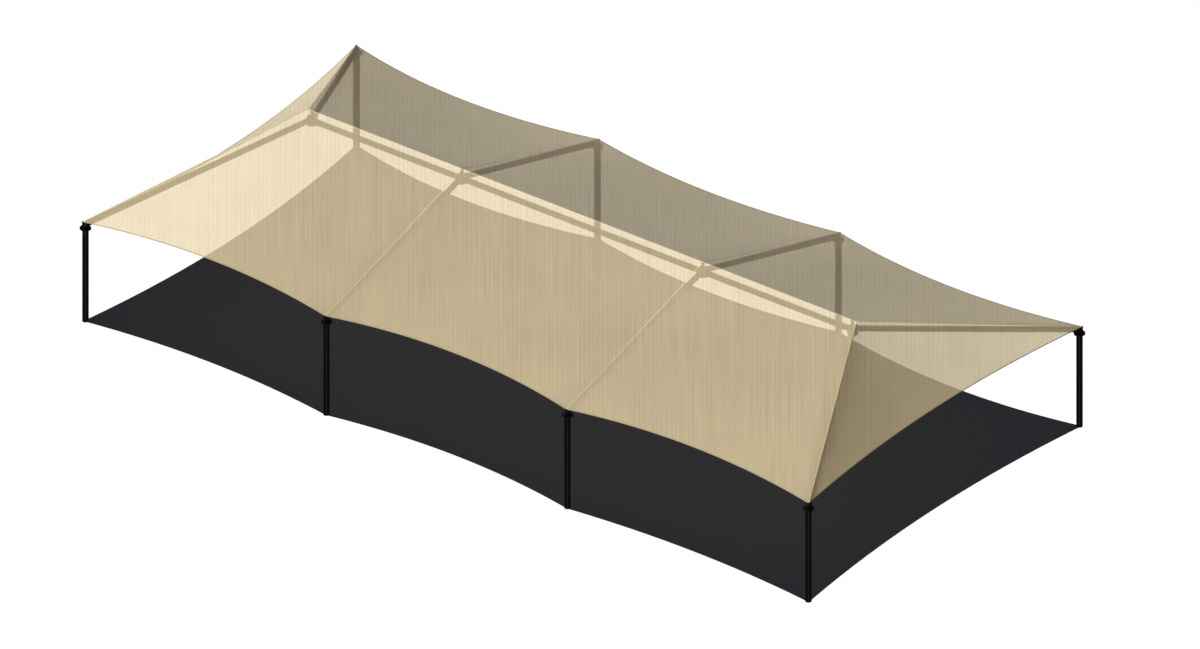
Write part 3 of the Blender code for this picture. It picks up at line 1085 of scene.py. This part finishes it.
@dataclass
class SteelFrame:
    """Posts, heads, rafters, ridge and hubs as smooth round steel, with the bolts, beads and brackets of their joints."""

    plan: Plan
    bolts: int = 8
    bolt_circle: float = 0.1235
    bolt_radius: float = 0.010
    bead_radius: float = 0.006
    ripple: float = 0.0009
    fin_thickness: float = 0.012
    seat_radius: float = 0.036
    sides: int = 64
    elbow_steps: int = 24
    rim: float = 0.0025
    coat: PowderCoat = field(default_factory=PowderCoat)
    zinc: Galvanised = field(default_factory=Galvanised)

    def add_steel(self, name: str, shell: Shell, node: str | None = None, smooth_angle: float = 35.0) -> None:
        """Makes a coated steel piece, in place of a CAD node if one is named."""
        add_piece(name, shell.mesh(name, smooth_angle=smooth_angle), self.coat, [node] if node else [])

    def build_posts(self) -> None:
        """Posts: a tube and its ring flange, turned from one closed profile with rounded rims."""
        plan = self.plan
        top = plan.post_top - plan.gap / 2
        under, inner = top - plan.flange_thickness, plan.post_radius - plan.post_wall
        rim = quarter_arc(plan.flange_radius, under, top, self.rim)
        rise = np.linspace(0.0, under, 9)[:, None] * np.array([[0.0, 1.0]]) + np.array([[plan.post_radius, 0.0]])
        profile = np.vstack([rise, rim, [[inner, top], [inner, 0.0], [plan.post_radius, 0.0]]])
        for side in Side:
            for index in range(plan.bays + 1):
                shell = Shell()
                shell.patch(revolved(profile, self.sides, plan.post(side, index)))
                label = f"{side.label}_{index + 1}"
                self.add_steel(f"post_{label}", shell, f"column_{label}")

    def elbow_path(self, side: Side, index: int) -> tuple[Array, Array]:
        """Middle line of a head's bent tube.

        It rises from the flange, turns on an arc of the elbow's radius in the rafter's upright plane until it has the
        rafter's slope, and runs on straight for the leg.

        Args:
            side: Long side of the post.
            index: Number of the post from 0.

        Returns:
            The points and the level direction square to their plane.
        """
        plan = self.plan
        foot, peak = plan.rafter(side, index)
        run = unit(peak - foot)
        level = unit(run * np.array([1.0, 1.0, 0.0]))
        up = np.array([0.0, 0.0, 1.0])
        turn = math.pi / 2 - math.asin(float(run[2]))
        centre = foot + level * plan.elbow_radius - up * plan.elbow_radius * math.tan(turn / 2)
        angle = np.linspace(0.0, turn, self.elbow_steps)[:, None]
        arc = centre + plan.elbow_radius * (np.sin(angle) * up - np.cos(angle) * level)
        start = plan.post(side, index) + up * (plan.post_top + plan.flange_thickness / 2)
        return np.vstack([start, arc, foot + run * plan.elbow_leg]), np.cross(level, up)

    def build_heads(self) -> None:
        """Post heads: round flange, bent tube and corner pin."""
        plan = self.plan
        bottom = plan.post_top + plan.gap / 2
        top = bottom + plan.flange_thickness
        flange = rounded_profile(plan.flange_radius, bottom, top, self.rim)
        pin = rounded_profile(plan.pin_radius, top - 0.006, plan.corner_z - plan.cloth / 2 - 2 * plan.gap, 0.002)
        for side in Side:
            for index in range(plan.bays + 1):
                shell = Shell()
                shell.patch(revolved(flange, self.sides, plan.post(side, index)))
                path, square = self.elbow_path(side, index)
                shell.patch(capped(swept(path, circle_section(plan.tube_radius, self.sides), up=square)))
                shell.patch(revolved(pin, 28, plan.corner(side, index) * np.array([1.0, 1.0, 0.0])))
                label = f"{side.label}_{index + 1}"
                self.add_steel(f"bent_head_{label}", shell, f"head_{label}")

    def tube(self, first: Array, last: Array) -> Array:
        """Grid of a straight tube between two end rings of matching points, closed at both ends.

        Args:
            first: Points of the first ring, (n, 3).
            last: Points of the last ring.

        Returns:
            Points, (rows, n + 1, 3): straight lines between the rings, with a pole at each end.
        """
        t = np.linspace(0.0, 1.0, 12)[:, None, None]
        grid = first[None] * (1.0 - t) + last[None] * t
        return capped(np.concatenate([grid, grid[:, :1]], axis=1))

    def build_tubes(self) -> None:
        """Rafters and ridge tubes, cut to the round of the hubs that they meet."""
        plan = self.plan
        for side in Side:
            for index, kind in enumerate(("hip_{}_left", "mid_{}_left", "mid_{}_right", "hip_{}_right")):
                foot, peak = plan.rafter(side, index)
                run = unit(peak - foot)
                start = self.ring(foot + run * (plan.elbow_leg + plan.gap), run, plan.tube_radius, self.sides)
                shell = Shell()
                shell.patch(self.tube(start, self.hub_ring(side, index, self.sides)))
                label = kind.format(side.label)
                self.add_steel(f"tube_{label}", shell, f"rafter_{label}")
        for index, place in enumerate(("left", "middle", "right")):
            run = np.array([1.0, 0.0, 0.0])
            start, end = (np.array([plan.hub_x[index + k], 0.0, plan.ridge_beam_z]) for k in (0, 1))
            low = self.tube_on_hub(-run, start, start, self.sides)
            high = self.tube_on_hub(run, end, end, self.sides)
            order = np.argsort(np.arctan2(low[:, 2] - start[2], low[:, 1]))
            match = np.argsort(np.arctan2(high[:, 2] - end[2], high[:, 1]))
            shell = Shell()
            shell.patch(self.tube(low[order], high[match]))
            self.add_steel(f"ridge_tube_{place}", shell, f"ridge_beam_{place}")

    def build_hubs(self) -> None:
        """Hubs: a can open below with rounded rims, its crown post, and the dome that carries the cloth."""
        plan = self.plan
        fall = (plan.ridge_z - plan.corner_z) / (plan.width / 2 + plan.corner_reach)
        pitch = math.atan(fall)
        under_cloth = plan.ridge_z - plan.cloth / 2 / math.cos(pitch)
        middle = under_cloth - (plan.crown_dome_radius + 2 * plan.gap) / math.cos(pitch)
        angle = np.linspace(0.0, math.asin(plan.crown_cap_radius / plan.crown_dome_radius), 10)
        dome = np.stack([np.sin(angle), np.cos(angle)], axis=1) * plan.crown_dome_radius + np.array([0.0, middle])
        lip = dome[-1, 1] - plan.crown_cap_lip
        rim = quarter_arc(plan.hub_radius, plan.hub_bottom, plan.hub_top, self.rim)[::-1]
        inner = plan.hub_radius - plan.hub_wall
        stem = [[plan.crown_cap_radius, lip], [plan.crown_stem_radius, lip], [plan.crown_stem_radius, plan.hub_top]]
        inside = [[inner, plan.hub_bottom], [inner, plan.hub_top - plan.hub_wall], [0.0, plan.hub_top - plan.hub_wall]]
        profile = np.vstack([dome, stem, rim, inside])
        for index, x in enumerate(plan.hub_x):
            shell = Shell()
            shell.patch(revolved(profile, self.sides, np.array([x, 0.0, 0.0])))
            self.add_steel(f"crown_hub_{index + 1}", shell, f"hub_{index + 1}")

    def hexagon(self, shell: Shell, centre: Array, bottom: float, top: float, across: float, turn: float) -> None:
        """A hexagon head or nut with chamfered corners.

        Its rings are six-sided with radius across over the square root of 3, drawn in by a tenth at the faces.

        Args:
            shell: Shell that takes it.
            centre: Point of its axis.
            bottom: Height of its lower face.
            top: Height of its upper face.
            across: Width across its flats.
            turn: Turn about the axis in radians.
        """
        corner, edge = across / math.sqrt(3.0), (top - bottom) * 0.14
        ring = np.array([0.0, 0.90, 1.0, 1.0, 0.90, 0.0]) * corner
        height = np.array([bottom, bottom, bottom + edge, top - edge, top, top])
        angle = np.linspace(0.0, 2.0 * math.pi, 7) + turn
        spoke = np.stack([np.cos(angle), np.sin(angle)], axis=1)
        grid = np.zeros((6, 7, 3))
        grid[..., :2] = centre[:2] + ring[:, None, None] * spoke[None]
        grid[..., 2] = height[:, None]
        shell.patch(grid)

    def build_bolts(self) -> None:
        """Bolts through each pair of flanges: head and washer above, washer, nut and thread end below."""
        plan = self.plan
        top = plan.post_top + plan.gap / 2 + plan.flange_thickness
        bottom = plan.post_top - plan.gap / 2 - plan.flange_thickness
        for side in Side:
            for index in range(plan.bays + 1):
                post = plan.post(side, index)
                shell = Shell()
                for number in range(self.bolts):
                    angle = 2.0 * math.pi * (number + 0.5) / self.bolts
                    centre = post + self.bolt_circle * np.array([math.cos(angle), math.sin(angle), 0.0])
                    shell.patch(revolved(rounded_profile(0.0185, top + 0.0002, top + 0.0032, 0.0008), 18, centre))
                    shell.patch(revolved(rounded_profile(0.0185, bottom - 0.0032, bottom - 0.0002, 0.0008), 18, centre))
                    self.hexagon(shell, centre, top + 0.0032, top + 0.0160, 0.030, angle)
                    self.hexagon(shell, centre, bottom - 0.0192, bottom - 0.0032, 0.030, angle + 0.3)
                    shell.patch(
                        revolved(rounded_profile(self.bolt_radius, bottom - 0.027, bottom - 0.0192, 0.0015), 14, centre)
                    )
                name = f"flange_bolts_{side.label}_{index + 1}"
                add_piece(name, shell.mesh(name, smooth_angle=25.0), self.coat)

    def bead(self, shell: Shell, ring: Array, radius: float) -> None:
        """A rippled weld bead round a closed ring.

        Each section is a circle whose radius swells and shrinks with the sine of the distance along the ring.

        Args:
            shell: Shell that takes it.
            ring: Points of the ring, (n, 3), without a repeated end.
            radius: Mean radius of the bead.
        """
        tangent = unit(np.roll(ring, -1, axis=0) - np.roll(ring, 1, axis=0))
        middle = ring.mean(axis=0)
        out = unit(ring - middle)
        top = unit(np.cross(tangent, out))
        out = np.cross(top, tangent)
        angle = np.linspace(0.0, 2.0 * math.pi, 9)
        swell = radius + self.ripple * np.sin(np.arange(len(ring)) * math.pi * 2.0 / 4.0)
        spoke = np.cos(angle)[None, :, None] * out[:, None] + np.sin(angle)[None, :, None] * top[:, None]
        grid = ring[:, None] + spoke * swell[:, None, None]
        shell.patch(np.concatenate([grid, grid[:1]], axis=0))

    @staticmethod
    def ring(centre: Array, axis: Array, radius: float, count: int) -> Array:
        """Points of a circle about an axis."""
        return revolved(np.array([[radius, 0.0]]), count, centre, axis)[0, :-1]

    def hub_ring(self, side: Side, index: int, count: int) -> Array:
        """Line where a rafter's tube meets its hub.

        For each line along the tube, the distance back from the hub's axis at which it meets the hub's round wall.

        Args:
            side: Long side of the rafter.
            index: Number of its post from 0.
            count: Number of points.

        Returns:
            Points of the closed line.
        """
        foot, top = self.plan.rafter(side, index)
        return self.tube_on_hub(unit(top - foot), top, top, count)

    def tube_on_hub(self, run: Array, point: Array, hub: Array, count: int) -> Array:
        """Points where a tube's surface meets the hub's cylinder, on the side that the tube comes from.

        Args:
            run: Unit direction of the tube, towards the hub.
            point: A point of the tube's axis.
            hub: A point of the hub's axis.
            count: Number of points.

        Returns:
            Points of the closed line.
        """
        circle = self.ring(point, run, self.plan.tube_radius, count)
        flat, origin = run[:2], circle[:, :2] - hub[:2]
        a = float(flat @ flat)
        b = origin @ flat
        c = (origin**2).sum(axis=1) - self.plan.hub_radius**2
        back = (-b - np.sqrt(np.maximum(b * b - a * c, 0.0))) / a
        return circle + back[:, None] * run

    def build_welds(self) -> None:
        """Beads at the posts' flanges, the heads, the tube joints and the hubs, one mesh for each joint."""
        plan = self.plan
        top = plan.post_top + plan.gap / 2 + plan.flange_thickness
        under = plan.post_top - plan.gap / 2 - plan.flange_thickness
        up = np.array([0.0, 0.0, 1.0])
        for side in Side:
            for index in range(plan.bays + 1):
                post = plan.post(side, index)
                foot, peak = plan.rafter(side, index)
                run = unit(peak - foot)
                shell = Shell()
                self.bead(shell, self.ring(post + up * under, up, plan.post_radius, 96), self.bead_radius)
                self.bead(shell, self.ring(post + up * top, up, plan.tube_radius, 96), self.bead_radius)
                pin = plan.corner(side, index) * np.array([1.0, 1.0, 0.0])
                self.bead(shell, self.ring(pin + up * top, up, plan.pin_radius, 40), self.bead_radius * 0.6)
                joint = foot + run * (plan.elbow_leg + plan.gap / 2)
                self.bead(shell, self.ring(joint, run, plan.tube_radius - 0.001, 96), self.bead_radius * 0.7)
                name = f"weld_head_{side.label}_{index + 1}"
                add_piece(name, shell.mesh(name), self.coat)
        for index, x in enumerate(plan.hub_x):
            shell = Shell()
            for side in Side:
                self.bead(shell, self.hub_ring(side, index, 96), self.bead_radius)
            hub = np.array([x, 0.0, plan.ridge_beam_z])
            for direction in (1.0, -1.0):
                if abs(x - direction * max(plan.hub_x)) > 1e-6:
                    run = np.array([-direction, 0.0, 0.0])
                    self.bead(shell, self.tube_on_hub(run, hub, hub, 96), self.bead_radius)
            stem = np.array([x, 0.0, plan.hub_top])
            self.bead(shell, self.ring(stem, up, plan.crown_stem_radius, 56), self.bead_radius * 0.7)
            name = f"weld_hub_{index + 1}"
            add_piece(name, shell.mesh(name), self.coat)

    def bracket_plate(self, outline: Array, along: Array, half: float) -> Array:
        """Grid of a flat plate with rounded edges, upright over a line through the origin.

        Its rings are the outline drawn in by the edge radius, full size on both faces, and drawn in again.

        Args:
            outline: Points (distance along the line, height), (n, 2), round the plate.
            along: Unit direction of the line on the ground.
            half: Half its thickness.

        Returns:
            Points, (6, n + 1, 3).
        """
        across = np.array([-along[1], along[0], 0.0])
        middle = outline.mean(axis=0)
        edge = 0.0015
        reach = np.linalg.norm(outline - middle, axis=1, keepdims=True)
        small = middle + (outline - middle) * (1.0 - edge / reach)
        rings = []
        for ring, offset in ((small, -half), (outline, edge - half), (outline, half - edge), (small, half)):
            closed = np.vstack([ring, ring[:1]])
            rings.append(closed[:, :1] * along + closed[:, 1:] * np.array([0.0, 0.0, 1.0]) + across * offset)
        return capped(np.stack(rings))

    def build_brackets(self) -> None:
        """Corner brackets: a fin between each head's tube and pin, and the round plate that the cloth's corner lies on."""
        plan = self.plan
        floor = plan.post_top + plan.gap / 2 + plan.flange_thickness
        seat = plan.corner_z - plan.cloth / 2 - plan.gap * 2
        for side in Side:
            for index in range(plan.bays + 1):
                post, corner = plan.post(side, index), plan.corner(side, index)
                reach = (corner - post) * np.array([1.0, 1.0, 0.0])
                along, length = unit(reach), float(np.linalg.norm(reach))
                fin = np.array(
                    [
                        [-0.050, floor + 0.004],
                        [length + 0.030, floor + 0.004],
                        [length + 0.030, floor + 0.050],
                        [length + 0.016, seat - 0.012],
                        [-0.035, seat - 0.012],
                        [-0.070, seat - 0.060],
                    ]
                )
                fin = np.vstack([segment(a, b, 5)[:-1] for a, b in zip(fin, np.roll(fin, -1, axis=0))])
                shell = Shell()
                shell.patch(self.bracket_plate(fin, along, self.fin_thickness / 2) + post)
                shell.patch(revolved(rounded_profile(self.seat_radius, seat - 0.014, seat - 0.0035, 0.003), 40, corner * [1, 1, 0]))
                name = f"corner_bracket_{side.label}_{index + 1}"
                add_piece(name, shell.mesh(name, smooth_angle=30.0), self.coat)

    def build(self) -> None:
        """Makes the steelwork and what joins it."""
        self.build_posts()
        self.build_heads()
        self.build_tubes()
        self.build_hubs()
        self.build_bolts()
        self.build_welds()
        self.build_brackets()


# Studio


@dataclass
class Studio:
    """White floor with the canopy's shadow straight below it, a soft key over the near side, and the camera."""

    azimuth: float = 37.77
    elevation: float = 30.0
    picture_width: float = 32.0
    distance: float = 200.0
    shift_right: float = 0.467
    shift_up: float = 1.307
    floor_size: float = 460.0
    floor_sun: float = 53.0
    key_sun: float = 9.1
    key_towards: tuple[float, float, float] = (-0.30, -0.90, 0.37)
    under_sun: float = 0.62
    under_fill: float = 0.93
    hem_sun: float = 2.2
    steel_sun: float = 0.6
    stripe_sun: float = 0.12
    ambient: float = 0.068

    def view_axes(self) -> tuple[Array, Array, Array]:
        """Right, up and back directions of the camera from its azimuth and elevation."""
        a, e = math.radians(self.azimuth), math.radians(self.elevation)
        back = np.array([math.sin(a) * math.cos(e), -math.cos(a) * math.cos(e), math.sin(e)])
        right = np.array([math.cos(a), math.sin(a), 0.0])
        return right, np.cross(back, right), back

    def add_camera(self) -> bpy.types.Object:
        """Parallel camera at the picture's angle, framed as the picture is."""
        right, up, back = self.view_axes()
        data = bpy.data.cameras.new("picture_camera")
        data.type = "ORTHO"
        data.ortho_scale = self.picture_width
        data.clip_start, data.clip_end = 0.5, 900.0
        camera = bpy.data.objects.new("picture_camera", data)
        bpy.context.scene.collection.objects.link(camera)
        camera.location = Vector(right * self.shift_right + up * self.shift_up + back * self.distance)
        camera.rotation_euler = Vector(back).to_track_quat("Z", "Y").to_euler()
        bpy.context.scene.camera = camera
        return camera

    def add_floor(self) -> bpy.types.Object:
        """Wide level floor."""
        half = self.floor_size / 2
        x, y = np.meshgrid(np.linspace(-half, half, 9), np.linspace(-half, half, 9))
        shell = Shell()
        shell.patch(np.stack([x, y, np.full_like(x, -0.001)], axis=-1))
        mesh = shell.mesh("studio_floor", recalculate=False)
        mesh.materials.append(StudioFloor().material())
        floor = bpy.data.objects.new("studio_floor", mesh)
        bpy.context.scene.collection.objects.link(floor)
        floor.visible_diffuse = False
        floor.visible_glossy = False
        floor.visible_shadow = False
        return floor

    def add_sun(self, name: str, towards: tuple[float, float, float], power: float, angle: float, colour: Colour) -> bpy.types.Object:
        """A sun lamp.

        Args:
            name: Its name.
            towards: Direction from the object to the lamp.
            power: Strength in watts per square metre.
            angle: Width of its disc in degrees, which softens its shadows.
            colour: Its colour.

        Returns:
            The lamp's object.
        """
        data = bpy.data.lights.new(name, "SUN")
        data.energy, data.color, data.angle = power, colour, math.radians(angle)
        lamp = bpy.data.objects.new(name, data)
        bpy.context.scene.collection.objects.link(lamp)
        lamp.rotation_euler = Vector(towards).to_track_quat("Z", "Y").to_euler()
        lamp.location = Vector(towards).normalized() * 40.0
        return lamp

    def light(self, floor: bpy.types.Object) -> None:
        """The floor's own overhead sun, the object's key and under-fill, and a dim even sky that the camera sees white."""
        ground = bpy.data.collections.new("lit_floor")
        ground.objects.link(floor)
        soft, hems, steel = (bpy.data.collections.new(name) for name in ("lit_cloth", "lit_hems", "lit_steel"))
        shade = bpy.data.collections.new("shading_cloth")
        shade.objects.link(bpy.data.objects["canopy_sheet"])
        for obj in bpy.context.scene.objects:
            if obj.type == "MESH" and obj is not floor:
                family = obj.name.split("_")[0]
                {"canopy": soft, "hem": hems, "rope": hems}.get(family, steel).objects.link(obj)
        overhead = self.add_sun("floor_sun", (0.0, 0.0, 1.0), self.floor_sun, 0.3, (1.0, 1.0, 1.0))
        overhead.light_linking.receiver_collection = ground
        overhead.light_linking.blocker_collection = shade
        back = self.view_axes()[2]
        for name, towards, power, angle, lit, shading in (
            ("key_sun", self.key_towards, self.key_sun, 1.5, soft, shade),
            ("under_sun", tuple(-back), self.under_sun, 3.0, soft, steel),
            ("under_fill", tuple(-back), self.under_fill, 3.0, soft, ground),
            ("hem_sun", self.key_towards, self.hem_sun, 8.0, hems, None),
            ("steel_sun", (-0.20, -0.85, 0.50), self.steel_sun, 14.0, steel, None),
            ("stripe_sun", (back[0], back[1], -back[2]), self.stripe_sun, 14.0, steel, None),
        ):
            lamp = self.add_sun(name, towards, power, angle, (1.0, 0.985, 0.96))
            lamp.light_linking.receiver_collection = lit
            if shading is not None:
                lamp.light_linking.blocker_collection = shading
        world = bpy.data.worlds.new("studio_sky")
        bpy.context.scene.world = world
        world.use_nodes = True
        tree = world.node_tree
        tree.nodes.clear()
        path = tree.nodes.new("ShaderNodeLightPath")
        dim, white = tree.nodes.new("ShaderNodeBackground"), tree.nodes.new("ShaderNodeBackground")
        for background, strength in ((dim, self.ambient), (white, 1.0)):
            background.inputs["Color"].default_value = (1.0, 1.0, 1.0, 1.0)
            background.inputs["Strength"].default_value = strength
        mix, out = tree.nodes.new("ShaderNodeMixShader"), tree.nodes.new("ShaderNodeOutputWorld")
        tree.links.new(path.outputs["Is Camera Ray"], mix.inputs[0])
        tree.links.new(dim.outputs[0], mix.inputs[1])
        tree.links.new(white.outputs[0], mix.inputs[2])
        tree.links.new(mix.outputs[0], out.inputs["Surface"])

    def build(self) -> None:
        """Floor and lights, after the object's pieces are made."""
        floor = self.add_floor()
        self.light(floor)
        view = bpy.context.scene.view_settings
        view.view_transform, view.look = "Standard", "None"
        view.exposure, view.gamma = 0.0, 1.0


def main() -> None:
    """Builds the camera, the structure and the studio in order."""
    logging.basicConfig(level=logging.INFO, format="%(name)s: %(message)s")
    studio = Studio()
    studio.add_camera()
    plan = Plan()
    SteelFrame(plan).build()
    canopy = Canopy(plan)
    canopy.build()
    PerimeterCable(plan).build(canopy.eaves())
    studio.build()


if __name__ == "__main__":
    main()
